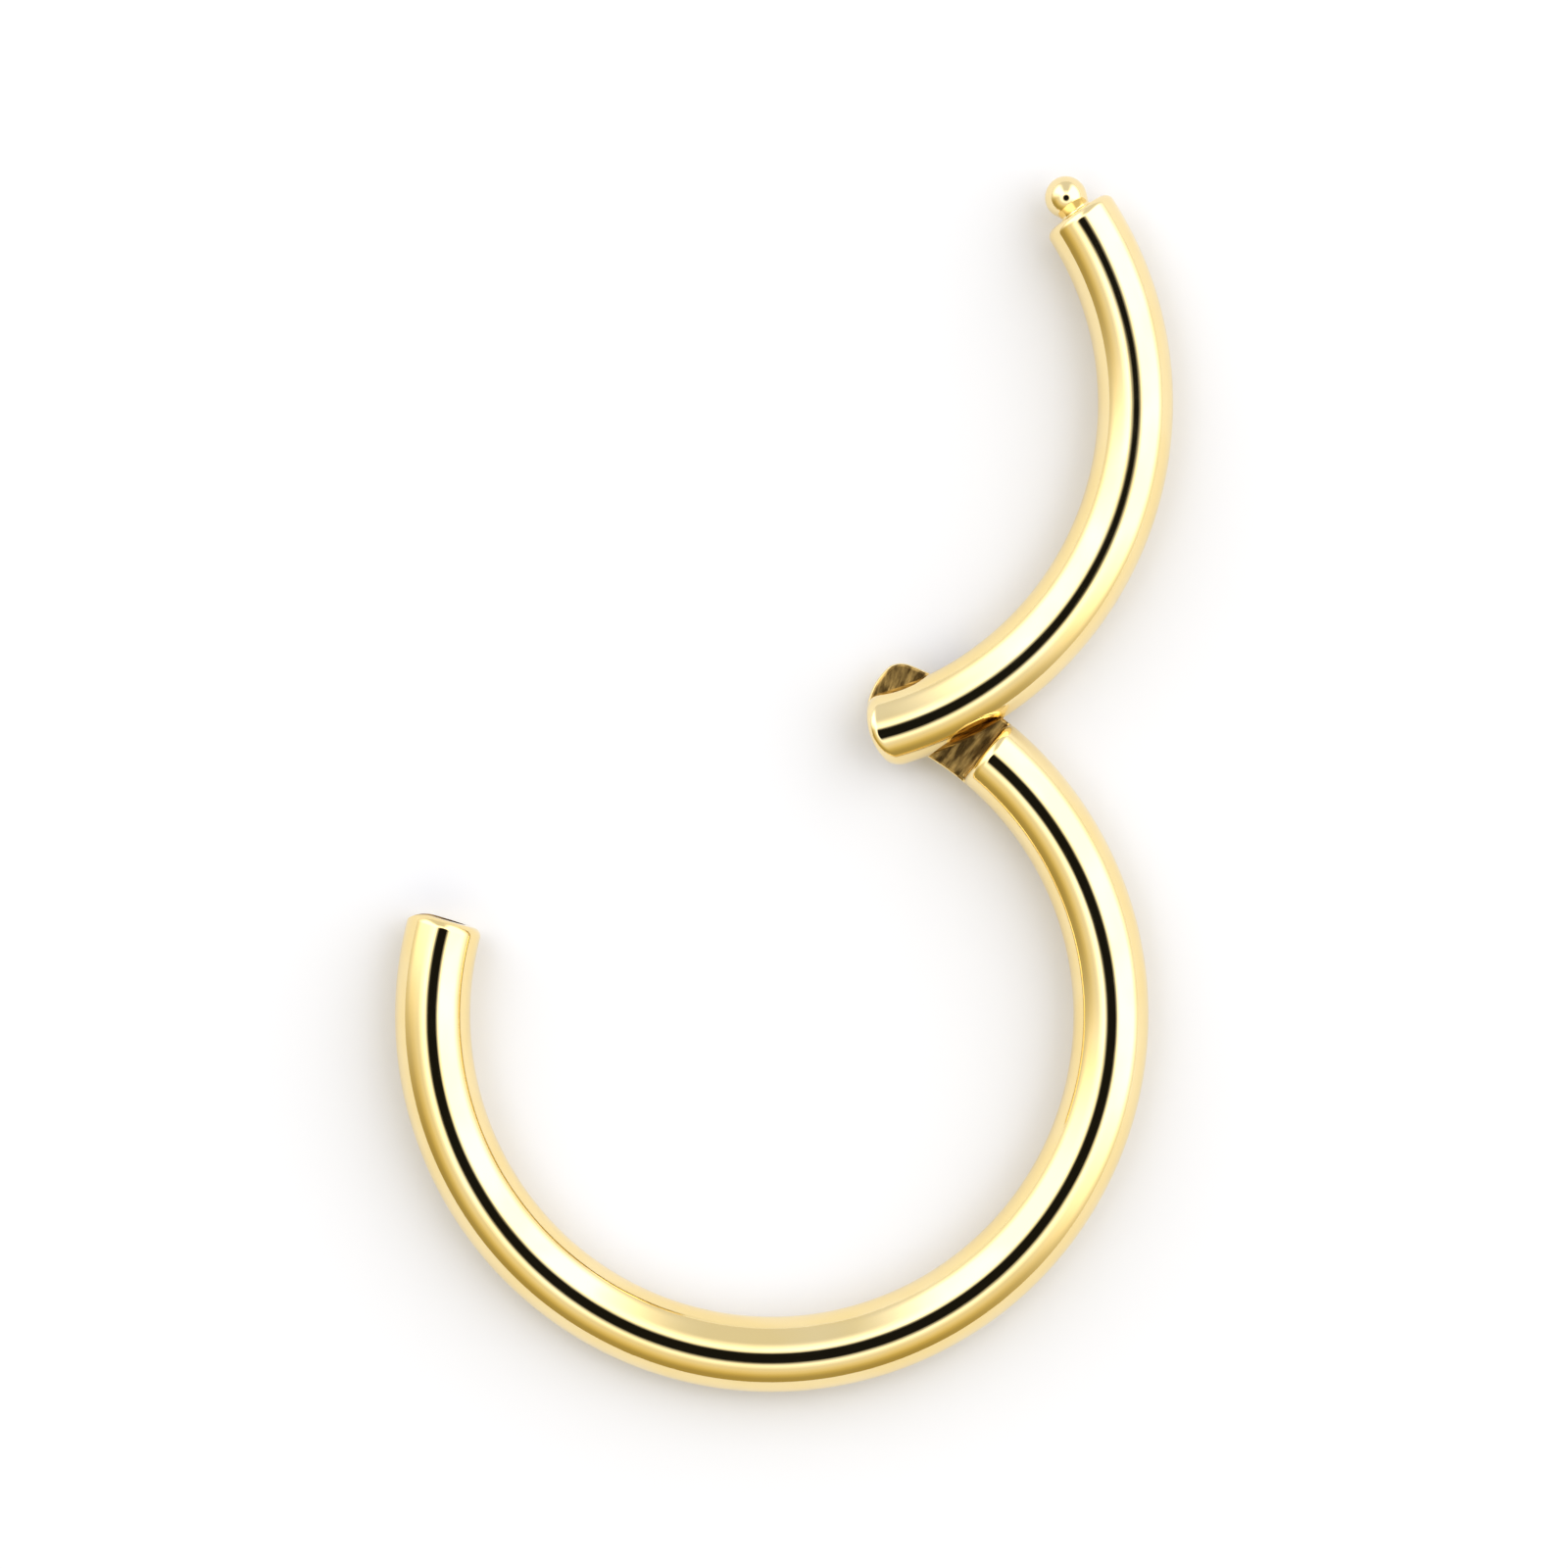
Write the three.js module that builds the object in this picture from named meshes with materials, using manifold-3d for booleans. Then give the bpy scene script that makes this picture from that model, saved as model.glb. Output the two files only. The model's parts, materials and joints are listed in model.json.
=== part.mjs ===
// A hinged segment hoop for a nose piercing, in millimetres, +Z up.
// The ring lies on its side: +X and +Y span its plane, and +Z runs through the thickness of the wire.
// It is shown open, with the segment swung out on its hinge to a little short of its stop.

import * as THREE from "three";
import { mergeVertices } from "three/addons/utils/BufferGeometryUtils.js";
import Module from "manifold-3d";

const wasm = await Module();
wasm.setup();

// Driving dimensions. Angles are in degrees, counter-clockwise round the hoop's centre from +X.
const wireDiameter = 1.0; // 18 gauge
const innerDiameter = 8.0; // clear width inside the shut ring
const hingeAngle = 62.2; // where the hinge pin stands
const freeEndAngle = 163.6; // where the hoop's free end is cut
const drawnBack = 4.2; // how far the open segment is shown from its stop
const shoulderDistance = 0.86; // from the pin's axis to the step where a tongue starts
const pinDiameter = 0.4;
const frontSkin = 0.12; // metal left over the pin, which is set in the segment from the back
const ballDiameter = 0.56; // of the catch on the segment's tip
const ballReach = 0.25; // from the segment's tip to the middle of the ball
const neckDiameter = 0.42; // of the short stalk that carries the ball

// Gaps between pieces.
const lapGap = 0.03; // between the flat faces of the two tongues
const tongueGap = 0.02; // between a tongue's round end and the other piece's step
const pressGap = 0.01; // round the pin in the segment, where it is fixed
const runningGap = 0.02; // round the pin in the hoop, where it turns
const shutGap = 0.03; // between the segment's tip and the hoop's free end when the ring is shut
const catchGap = 0.02; // round the ball in its socket
const stopGap = 0.01; // between the corner of the hoop's step and the segment at its stop

// How finely round forms are cut into flats.
const wireSides = 24; // a multiple of 4, so that the ring rests on a flat
const roundSides = 24; // of the pin, its holes, the ball and the socket
const stepAngle = 5; // degrees of arc for each length of wire

// Finishes: the wire is mirror polished, the rivet is plain.
const wireColour = 0xe3b95c;
const wireRoughness = 0.08;
const rivetColour = 0xc79a45;
const rivetRoughness = 0.2;

// Sizes that follow from the ones above.
const wireRadius = wireDiameter / 2;
const ringRadius = innerDiameter / 2 + wireRadius; // of the wire's own axis
const pinRadius = pinDiameter / 2;
const ballRadius = ballDiameter / 2;
const neckRadius = neckDiameter / 2;
const hingePoint = pointOnRing(hingeAngle);
const tongueAngle = degrees(Math.asin(shoulderDistance / ringRadius));
const tongueReach = shoulderDistance - tongueGap;
const tipAngle = freeEndAngle - degrees(shutGap / ringRadius);
const ballAngle = tipAngle + degrees(ballReach / ringRadius);
const openAngle = findStopAngle() - drawnBack;
const pinFront = wireRadius - frontSkin;

function radians(angle) {
  return THREE.MathUtils.degToRad(angle);
}

function degrees(angle) {
  return THREE.MathUtils.radToDeg(angle);
}

function pointOnRing(angle, radius = ringRadius) {
  return new THREE.Vector2(Math.cos(radians(angle)), Math.sin(radians(angle))).multiplyScalar(radius);
}

// The segment stops when its outer edge meets the outer corner of the hoop's step. The two wires mirror each other
// about the pin, so both corners stand at the same angle from the line of the wire.
function findStopAngle() {
  const outerRadius = ringRadius + wireRadius;
  const along = outerRadius * Math.sin(radians(tongueAngle));
  const outward = outerRadius * Math.cos(radians(tongueAngle)) - ringRadius;
  const cornerAngle = Math.atan2(outward, along);
  return 180 - degrees(2 * cornerAngle + stopGap / Math.hypot(along, outward));
}

// A polygon drawn round a hole of this radius leaves the whole of the hole clear.
function holeRadius(radius) {
  return radius / Math.cos(Math.PI / roundSides);
}

// An arc in the plane of the ring, for a section to be swept along.
class FlatArc extends THREE.Curve {
  constructor(centre, radius, from, to) {
    super();
    this.centre = centre;
    this.radius = radius;
    this.from = radians(from);
    this.to = radians(to);
  }

  getPoint(t, target = new THREE.Vector3()) {
    const angle = THREE.MathUtils.lerp(this.from, this.to, t);
    const x = this.centre.x + this.radius * Math.cos(angle);
    const y = this.centre.y + this.radius * Math.sin(angle);
    return target.set(x, y, 0);
  }

  getTangent(t, target = new THREE.Vector3()) {
    const angle = THREE.MathUtils.lerp(this.from, this.to, t);
    const turn = Math.sign(this.to - this.from);
    return target.set(-Math.sin(angle) * turn, Math.cos(angle) * turn, 0);
  }
}

// A regular polygon with flats, not corners, at its top, bottom and sides. The flats touch the circle.
function flatSidedSection(radius, sides) {
  const corners = [];
  for (let i = 0; i < sides; i += 1) {
    const angle = (2 * Math.PI * (i + 0.5)) / sides;
    const reach = radius / Math.cos(Math.PI / sides);
    corners.push(new THREE.Vector2(reach * Math.cos(angle), reach * Math.sin(angle)));
  }
  return new THREE.Shape(corners);
}

function solidOf(geometry) {
  const bare = geometry.clone();
  bare.deleteAttribute("normal");
  bare.deleteAttribute("uv");
  const merged = mergeVertices(bare);
  const vertProperties = merged.getAttribute("position").array;
  const triVerts = new Uint32Array(merged.index.array);
  return new wasm.Manifold(new wasm.Mesh({ numProp: 3, vertProperties, triVerts }));
}

function geometryOf(solid) {
  const { vertProperties, triVerts } = solid.getMesh();
  const shared = new THREE.BufferGeometry();
  shared.setAttribute("position", new THREE.BufferAttribute(vertProperties, 3));
  shared.setIndex(new THREE.BufferAttribute(triVerts, 1));
  const geometry = shared.toNonIndexed();
  geometry.computeVertexNormals();
  return geometry;
}

function sweptBar(arc, radius, sides) {
  const steps = Math.max(3, Math.ceil(degrees(Math.abs(arc.to - arc.from)) / stepAngle));
  const section = flatSidedSection(radius, sides);
  return solidOf(new THREE.ExtrudeGeometry(section, { steps, extrudePath: arc, bevelEnabled: false }));
}

function wireBetween(from, to) {
  return sweptBar(new FlatArc(new THREE.Vector2(), ringRadius, from, to), wireRadius, wireSides);
}

// A block that covers the wire between two angles of the ring and two heights.
function blockBetween(from, to, bottom, top) {
  const outline = new THREE.Shape();
  outline.absarc(0, 0, ringRadius + wireDiameter, radians(from), radians(to), false);
  outline.absarc(0, 0, ringRadius - wireDiameter, radians(to), radians(from), true);
  const geometry = new THREE.ExtrudeGeometry(outline, { depth: top - bottom, bevelEnabled: false });
  return solidOf(geometry.translate(0, 0, bottom));
}

// A round bar on the hinge's axis, from behind the wire up to the given height.
function barOnHinge(radius, top = wireDiameter) {
  const bar = new THREE.CylinderGeometry(radius, radius, top + wireDiameter, roundSides);
  bar.rotateX(Math.PI / 2);
  return solidOf(bar.translate(hingePoint.x, hingePoint.y, (top - wireDiameter) / 2));
}

function ballAt(point, radius) {
  const ball = new THREE.SphereGeometry(radius, roundSides, roundSides / 2);
  return solidOf(ball.rotateX(Math.PI / 2).translate(point.x, point.y, 0));
}

// What is cut from one half of the wire's thickness, between the step and the end, to leave a tongue.
function lapCut(from, to, half) {
  const face = (half * -lapGap) / 2;
  const beyond = half * wireDiameter;
  return blockBetween(from, to, Math.min(face, beyond), Math.max(face, beyond));
}

// What is cut past the pin, so that a tongue ends in an arc about it.
function roundEndCut(from, to) {
  return blockBetween(from, to, -wireDiameter, wireDiameter).subtract(barOnHinge(tongueReach));
}

// The ball swings about the pin, so the socket follows that arc and breaks a little of the hoop's outer edge.
// It is wide enough for the neck too, which crosses the arc at a slant.
function catchSocket() {
  const shutBall = pointOnRing(ballAngle);
  const swing = shutBall.clone().sub(hingePoint);
  const slant = radians(90 - (ballAngle - hingeAngle) / 2);
  const neckSweep = ballReach * Math.sin(slant) + neckRadius * Math.cos(slant);
  const radius = holeRadius(Math.max(ballRadius, neckSweep) + catchGap);
  const shutAngle = degrees(swing.angle());
  const way = degrees((wireDiameter + ballReach) / swing.length());
  const path = new FlatArc(hingePoint, swing.length(), shutAngle - way, shutAngle);
  return sweptBar(path, radius, roundSides).add(ballAt(shutBall, radius));
}

function makeHoop() {
  const tongueEnd = hingeAngle + tongueAngle;
  return wireBetween(freeEndAngle, 360 + tongueEnd)
    .subtract(lapCut(hingeAngle - tongueAngle, tongueEnd + tongueAngle, 1))
    .subtract(roundEndCut(hingeAngle, tongueEnd + tongueAngle))
    .subtract(barOnHinge(holeRadius(pinRadius + runningGap)))
    .subtract(catchSocket());
}

function makeBallCatch() {
  const root = tipAngle - degrees(wireRadius / ringRadius);
  const neckArc = new FlatArc(new THREE.Vector2(), ringRadius, root, ballAngle);
  return sweptBar(neckArc, neckRadius, roundSides).add(ballAt(pointOnRing(ballAngle), ballRadius));
}

// The segment is made where it lies when the ring is shut.
function makeSegment() {
  const tongueEnd = hingeAngle - tongueAngle;
  return wireBetween(tongueEnd, tipAngle)
    .subtract(lapCut(tongueEnd - tongueAngle, hingeAngle + tongueAngle, -1))
    .subtract(roundEndCut(tongueEnd - tongueAngle, hingeAngle))
    .subtract(barOnHinge(holeRadius(pinRadius + pressGap), pinFront))
    .add(makeBallCatch());
}

// The pin's back end is domed, so that it stays inside the hoop's wire however the segment is turned.
function makeHingePin() {
  return barOnHinge(pinRadius, pinFront - pressGap).intersect(ballAt(hingePoint, wireRadius));
}

function goldPlate(color, roughness) {
  return new THREE.MeshStandardMaterial({ color, roughness, metalness: 1, flatShading: true });
}

function namedMesh(name, solid, material) {
  const mesh = new THREE.Mesh(geometryOf(solid), material);
  mesh.name = name;
  return mesh;
}

const hoop = namedMesh("hoop", makeHoop(), goldPlate(wireColour, wireRoughness));
const segment = namedMesh("segment", makeSegment(), goldPlate(wireColour, wireRoughness));
const hingePin = namedMesh("hinge_pin", makeHingePin(), goldPlate(rivetColour, rivetRoughness));

// The pieces of the gate are drawn about the hinge, and the hinge is turned to open them.
const gate = new THREE.Group();
gate.name = "gate_on_hinge";
gate.position.set(hingePoint.x, hingePoint.y, 0);
gate.rotation.z = radians(-openAngle);
for (const piece of [segment, hingePin]) {
  piece.position.set(-hingePoint.x, -hingePoint.y, 0);
  gate.add(piece);
}

const ring = new THREE.Group();
ring.name = "ring";
ring.add(hoop, gate);

// The origin is the middle of the open ring's footprint, on the surface that it lies on.
const bounds = new THREE.Box3().setFromObject(ring, true);
const middle = bounds.getCenter(new THREE.Vector3());
ring.position.set(-middle.x, -middle.y, -bounds.min.z);

const part = new THREE.Group();
part.add(ring);

export default part;
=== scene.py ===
# %% [markdown]
# A hinged nose ring in polished gold
#
# The ring is a hoop of round wire with a gate, the segment, that swings on a tiny lap hinge and snaps shut
# with a ball catch. Here it lies open on its side. In this lesson one Geometry Nodes tree makes both wires
# from a rule of distances and cuts the holes in them, a rivet is turned like a lathe part, and a light tent
# with a dark eye in its roof gives the metal its black centre line. Sizes are in millimetres until a mesh
# is finished, then in metres.

import bmesh
import bpy
import json
import math
from mathutils import Matrix, Vector


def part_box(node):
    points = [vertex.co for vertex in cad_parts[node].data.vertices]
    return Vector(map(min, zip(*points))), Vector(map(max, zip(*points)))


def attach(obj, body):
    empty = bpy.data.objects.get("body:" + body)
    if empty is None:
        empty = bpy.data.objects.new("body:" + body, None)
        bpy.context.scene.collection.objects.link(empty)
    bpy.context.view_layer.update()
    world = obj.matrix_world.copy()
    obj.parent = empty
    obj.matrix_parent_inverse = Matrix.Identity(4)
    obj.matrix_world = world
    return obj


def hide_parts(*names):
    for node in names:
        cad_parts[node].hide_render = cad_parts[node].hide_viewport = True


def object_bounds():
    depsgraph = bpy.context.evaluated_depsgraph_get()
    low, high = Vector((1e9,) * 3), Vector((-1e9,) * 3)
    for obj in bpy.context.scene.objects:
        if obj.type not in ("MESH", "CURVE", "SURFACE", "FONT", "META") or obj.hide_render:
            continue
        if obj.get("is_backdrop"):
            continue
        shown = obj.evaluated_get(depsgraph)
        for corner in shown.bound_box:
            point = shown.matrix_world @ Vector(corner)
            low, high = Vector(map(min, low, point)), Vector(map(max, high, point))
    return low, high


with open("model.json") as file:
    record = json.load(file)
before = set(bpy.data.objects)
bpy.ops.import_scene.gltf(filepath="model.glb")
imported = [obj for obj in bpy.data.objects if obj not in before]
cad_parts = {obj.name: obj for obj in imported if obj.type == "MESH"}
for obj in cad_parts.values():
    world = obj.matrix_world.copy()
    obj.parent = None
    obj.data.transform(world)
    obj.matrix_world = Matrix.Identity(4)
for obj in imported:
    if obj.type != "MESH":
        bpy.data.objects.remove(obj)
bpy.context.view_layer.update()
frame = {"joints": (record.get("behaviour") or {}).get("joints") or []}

# %% [markdown]
# Sizes
#
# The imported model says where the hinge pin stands, how far the segment is open and how thick the wire is.
# The other sizes are the maker's own. They are the same as in the solid model, and the roundings are what
# polishing leaves.

# %% Sizes of the real ring
MM = 0.001
hinge = frame["joints"][0]
pin_place = Vector(hinge["pos_m"])
open_angle = math.radians(hinge["range_deg"][1])
hoop_low, hoop_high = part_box("hoop")
wire_radius = (hoop_high.z - hoop_low.z) / 2 / MM

ring_radius = 4.5  # of the wire's own axis
hinge_angle = math.radians(62.2)  # round the hoop's centre, from +X
free_end_angle = math.radians(163.6)
shut_gap = 0.03  # between the segment's tip and the hoop's free end
shoulder = 0.86  # from the pin to the step where a tongue starts
tongue_gap = 0.02
lap_gap = 0.03  # between the two tongues
pin_radius = 0.2
front_skin = 0.12  # metal in front of the pin
running_gap = 0.02
press_gap = 0.01
ball_radius = 0.28
ball_reach = 0.25  # from the segment's tip to the middle of the ball
neck_radius = 0.21
catch_gap = 0.02

rim_rounding = 0.12
lap_rounding = 0.05
neck_fillet = 0.04
print(f"wire {2 * wire_radius:.3f} mm thick, segment open by {math.degrees(open_angle):.1f} degrees")

# %% [markdown]
# Arithmetic that builds nodes
#
# A rule is easier to read as a formula than as fifty boxes and noodles. So a small class stands for a
# number in a node tree: adding or multiplying two of them adds a Math node and links it up. The same class
# serves the shape of the wire and, later, the patterns in the materials.

# %% Numbers in a node tree
class Number:
    def __init__(self, tree, source):
        self.tree = tree
        self.source = source

    def __add__(self, other):
        return calculate(self.tree, "ADD", self, other)

    def __sub__(self, other):
        return calculate(self.tree, "SUBTRACT", self, other)

    def __rsub__(self, other):
        return calculate(self.tree, "SUBTRACT", other, self)

    def __mul__(self, other):
        return calculate(self.tree, "MULTIPLY", self, other)

    def __truediv__(self, other):
        return calculate(self.tree, "DIVIDE", self, other)

    def __neg__(self):
        return self * -1.0

    __radd__ = __add__
    __rmul__ = __mul__


def feed(tree, socket, value):
    if isinstance(value, Number):
        tree.links.new(value.source, socket)
    else:
        socket.default_value = value


def calculate(tree, operation, *values):
    node = tree.nodes.new("ShaderNodeMath")
    node.operation = operation
    for socket, value in zip(node.inputs, values):
        feed(tree, socket, value)
    return Number(tree, node.outputs[0])


def larger(a, b):
    return calculate(a.tree, "MAXIMUM", a, b)


def smaller(a, b):
    return calculate(a.tree, "MINIMUM", a, b)


def sine(a):
    return calculate(a.tree, "SINE", a)


def cosine(a):
    return calculate(a.tree, "COSINE", a)


def hypotenuse(a, b):
    return calculate(a.tree, "SQRT", a * a + b * b)


def between(a, b, share):
    return share * (b - a) + a


def ramp(value, start, stop):
    """A smooth step from 0 where value is start to 1 where it is stop."""
    share = larger(smaller((value - start) / (stop - start), 1.0), 0.0)
    return share * share * (3.0 - share * 2.0)


def vector_of(x, y, z):
    node = x.tree.nodes.new("ShaderNodeCombineXYZ")
    for socket, value in zip(node.inputs, (x, y, z)):
        feed(x.tree, socket, value)
    return Number(x.tree, node.outputs[0])


def parts_of(vector):
    node = vector.tree.nodes.new("ShaderNodeSeparateXYZ")
    vector.tree.links.new(vector.source, node.inputs[0])
    return [Number(vector.tree, socket) for socket in node.outputs]


print("Number makes Math nodes")

# %% [markdown]
# The rule of the wire
#
# Both wires are the same form: a bent round bar, cut flat at its tip, with half of its thickness milled
# away at the other end so that a tongue is left for the hinge. The rule gives the distance from any point
# to that form, negative inside it. Two distances join with the larger one where a form is cut, and with the
# smaller one where a form is added. A cut that is joined with a rounding leaves an edge that has been
# polished over, which is what makes small jewellery look real: no edge on it is knife sharp.

# %% Joining distances
def rounded_cut(a, b, rounding):
    outside = hypotenuse(larger(a + rounding, 0.0), larger(b + rounding, 0.0))
    return smaller(larger(a, b), -rounding) + outside


def filleted_join(a, b, fillet):
    return -rounded_cut(-a, -b, fillet)


def new_tree(name, sizes):
    tree = bpy.data.node_groups.new(name, "GeometryNodeTree")
    for size in sizes:
        tree.interface.new_socket(name=size, in_out="INPUT", socket_type="NodeSocketFloat")
    return tree


def inputs_of(tree):
    node = tree.nodes.new("NodeGroupInput")
    return {socket.name: Number(tree, socket) for socket in node.outputs if socket.name}


BAR_SIZES = (
    "Ring Radius", "Wire Radius", "Arc", "Shoulder Angle", "Tongue Reach", "Lap Height",
    "Rim Rounding", "Lap Rounding", "Ball Radius", "Ball Reach", "Neck Radius", "Neck Fillet",
)
print("sizes of a bar:", ", ".join(BAR_SIZES))

# %% The distance from a point to the bar
# The pin stands on +X, the bar runs anticlockwise from it, and its tongue keeps the upper half of the wire.
def place_on_bar(x, y, size):
    """The angle from the pin, whose range breaks in the middle of the gap, and the distance from Z."""
    half = size["Arc"] * 0.5
    turned_x = x * cosine(half) + y * sine(half)
    turned_y = y * cosine(half) - x * sine(half)
    angle = calculate(x.tree, "ARCTAN2", turned_y, turned_x) + half
    return angle, hypotenuse(x, y)


def beyond(angle, plane_angle, from_axis):
    """How far a point at this angle lies past a plane through the ring's axis."""
    quarter = math.pi / 2
    return from_axis * sine(larger(smaller(angle - plane_angle, quarter), -quarter))


def make_distance_tree():
    tree = new_tree("Distance to Bar", BAR_SIZES)
    tree.interface.new_socket(name="Place", in_out="INPUT", socket_type="NodeSocketVector")
    tree.interface.new_socket(name="Distance", in_out="OUTPUT", socket_type="NodeSocketFloat")
    size = inputs_of(tree)
    x, y, z = parts_of(size["Place"])
    angle, from_axis = place_on_bar(x, y, size)
    outward = from_axis - size["Ring Radius"]
    from_wire = hypotenuse(outward, z)
    wire = from_wire - size["Wire Radius"]

    past_tip = beyond(angle, size["Arc"], from_axis)
    past_step = -beyond(angle, size["Shoulder Angle"], from_axis)
    full = rounded_cut(wire, past_tip, size["Rim Rounding"])
    full = rounded_cut(full, past_step, size["Rim Rounding"])

    across = x - size["Ring Radius"]
    past_round_end = hypotenuse(larger(-y, 0.0), across) - size["Tongue Reach"]
    tongue = rounded_cut(wire, past_round_end, size["Rim Rounding"])
    tongue = rounded_cut(tongue, size["Lap Height"] - z, size["Lap Rounding"])
    # The rule of the tongue must not reach the rest of the ring.
    tongue = larger(tongue, hypotenuse(across, y) - size["Tongue Reach"] * 2.0)
    body = smaller(full, tongue)

    along = (angle - size["Arc"]) * size["Ring Radius"]
    neck_ends = larger(along - size["Ball Reach"], -along - size["Wire Radius"])
    neck = larger(from_wire - size["Neck Radius"], neck_ends)
    ball = hypotenuse(from_wire, along - size["Ball Reach"]) - size["Ball Radius"]
    catch = filleted_join(neck, ball, size["Neck Fillet"])
    result = filleted_join(body, catch, size["Neck Fillet"])
    out = tree.nodes.new("NodeGroupOutput")
    tree.links.new(result.source, out.inputs["Distance"])
    return tree


distance_tree = make_distance_tree()
print("the rule has", len(distance_tree.nodes), "nodes")

# %% [markdown]
# A sleeve that the rule pulls tight
#
# The mesh starts as a sleeve of rings, one ring of points after the other from the ball at the tip to the
# end of the tongue, laid on the form with its edges still sharp. Rings crowd together where an edge will be
# rounded. Then a Repeat Zone moves every point against the slope of the distance until the distance is
# nothing, as shrink wrap does. Marching a volume into a mesh would also follow a rule, but its uneven
# triangles would show as ripples in a mirror finish, and here the rings run along the wire as drawn metal
# does.

# %% Where each ring of the sleeve starts
BALL_RINGS, NECK_RINGS, CAP_RINGS, STEP_RINGS, TONGUE_RINGS, END_RINGS = 44, 8, 40, 18, 70, 40
FIXED_RINGS = BALL_RINGS + NECK_RINGS + CAP_RINGS + STEP_RINGS + TONGUE_RINGS + END_RINGS
SIDES = 160  # points in a ring
WIRE_CROWDING = 0.9  # how much closer the rings of the wire lie near its two ends
LATE_CROWDING = 0.7  # how much closer the rings of a short stage lie near its edge
SIDE_CROWDING = 0.5  # how much closer the points of a ring lie near the lap plane
TONGUE_MIDDLE = 0.45  # height of the middle of the tongue's end, as a share of the wire's radius


def stage_of(ring, first, count):
    """How far a ring is through one stage of the sleeve, from 0 to 1."""
    share = (ring - first) / count
    return larger(smaller(share, 1.0), 0.0)


def crowded_ends(share, crowding):
    """Runs from 0 to 1 like share, but slower at both ends, so that points crowd there."""
    return share - sine(share * (2 * math.pi)) * (crowding / (2 * math.pi))


def crowded_late(share):
    """Runs from 0 to 1 like share, but slower and slower, so that rings crowd at the stage's end."""
    return between(share, sine(share * (math.pi / 2)), LATE_CROWDING)


def sleeve_place(ring, column, wire_rings, size):
    """(angle from the pin, distance outwards from the wire's axis, height) of a point of the sleeve."""
    ball = stage_of(ring, 0.0, BALL_RINGS)
    neck = stage_of(ring, BALL_RINGS, NECK_RINGS)
    cap = crowded_late(stage_of(ring, BALL_RINGS + NECK_RINGS, CAP_RINGS))
    wire_start = BALL_RINGS + NECK_RINGS + CAP_RINGS
    wire = crowded_ends(stage_of(ring, wire_start, wire_rings), WIRE_CROWDING)
    step_start = wire_rings + wire_start
    step = 1.0 - crowded_late(1.0 - stage_of(ring, step_start, STEP_RINGS))
    tongue = crowded_late(stage_of(ring, step_start + STEP_RINGS, TONGUE_RINGS))
    end = crowded_late(1.0 - stage_of(ring, step_start + (STEP_RINGS + TONGUE_RINGS), END_RINGS))

    # A bar without a ball has a radius of nothing there, which nothing may be divided by.
    neck_share = smaller(size["Neck Radius"] / larger(size["Ball Radius"], 1e-6), 1.0)
    round_ball = between(math.pi, calculate(ring.tree, "ARCSINE", neck_share), ball)
    past_tip = (size["Ball Reach"] - size["Ball Radius"] * cosine(round_ball)) * (1.0 - neck)
    radius = between(size["Ball Radius"] * sine(round_ball), size["Wire Radius"], cap)

    # One point of each ring lies on either edge of the lap face. Half of the ring, kept, runs between them
    # over the tongue's back. The other half, cut, comes down the step to the lap face.
    edge = calculate(ring.tree, "ARCSINE", size["Lap Height"] / size["Wire Radius"])
    share = column / (SIDES / 2)
    kept = crowded_ends(smaller(share, 1.0), SIDE_CROWDING)
    cut = crowded_ends(larger(share - 1.0, 0.0), SIDE_CROWDING)
    turn = edge + (math.pi - edge * 2.0) * kept + (math.pi + edge * 2.0) * cut
    lowered = step * calculate(ring.tree, "GREATER_THAN", share, 1.0)
    outward = between(radius * cosine(turn), radius * cosine(edge) * (cut * 2.0 - 1.0), lowered) * end
    height = between(radius * sine(turn), size["Lap Height"], lowered)
    height = between(size["Wire Radius"] * TONGUE_MIDDLE, height, end)

    tip_angle = size["Arc"] + past_tip / size["Ring Radius"]
    along_wire = between(tip_angle, size["Shoulder Angle"], wire)
    from_axis = size["Ring Radius"] + outward
    squares = size["Ring Radius"] * size["Ring Radius"] + from_axis * from_axis
    squares = squares - size["Tongue Reach"] * size["Tongue Reach"]
    round_end = calculate(ring.tree, "ARCCOSINE", squares / (size["Ring Radius"] * from_axis * 2.0))
    return between(along_wire, -round_end, tongue), outward, height


print(FIXED_RINGS, "rings besides those of the plain wire, each of", SIDES, "points")

# %% The tree that makes a bar
FIRST_ROUNDS, RELAX_ROUNDS, LAST_ROUNDS = 8, 24, 4  # of pulling; the middle ones relax the step's corners too
RELAX_REACH = 0.1, 0.03  # about a corner: relaxed not at all from the first on, wholly within the second
BLUR_STEPS = 8  # in each round that relaxes
MERGE_REACH = 1e-4  # points nearer than this become one
SLOPE_REACH = 0.002  # over which the slope of the distance is measured
LEAST_STEEPNESS = 0.25  # keeps the steps short where the distance hardly slopes

# The faces that these find take the milled finish, whose dark brown is painted shade.
STEP_TOLERANCE = 0.003  # how near a face's middle lies to the face of the step that it belongs to
LAP_TOLERANCE = 0.01  # the same for the lap face, whose finish runs a little over its edge
LAP_LEVEL = 0.8  # how upright the normal of such a face is
CORNER_TOLERANCE = 0.02  # how near a face at a step's corner is to the lap face
CORNER_WEIGHT = 0.1  # how much of the relaxing such a face gets, at least


def captured_index(tree, geometry, name):
    """Stores each point's index, so that it is still known after Curve to Mesh."""
    index = tree.nodes.new("GeometryNodeInputIndex")
    capture = tree.nodes.new("GeometryNodeCaptureAttribute")
    capture.capture_items.new("FLOAT", name)
    tree.links.new(geometry, capture.inputs[0])
    tree.links.new(index.outputs[0], capture.inputs[1])
    return capture.outputs[0], Number(tree, capture.outputs[1])


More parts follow.
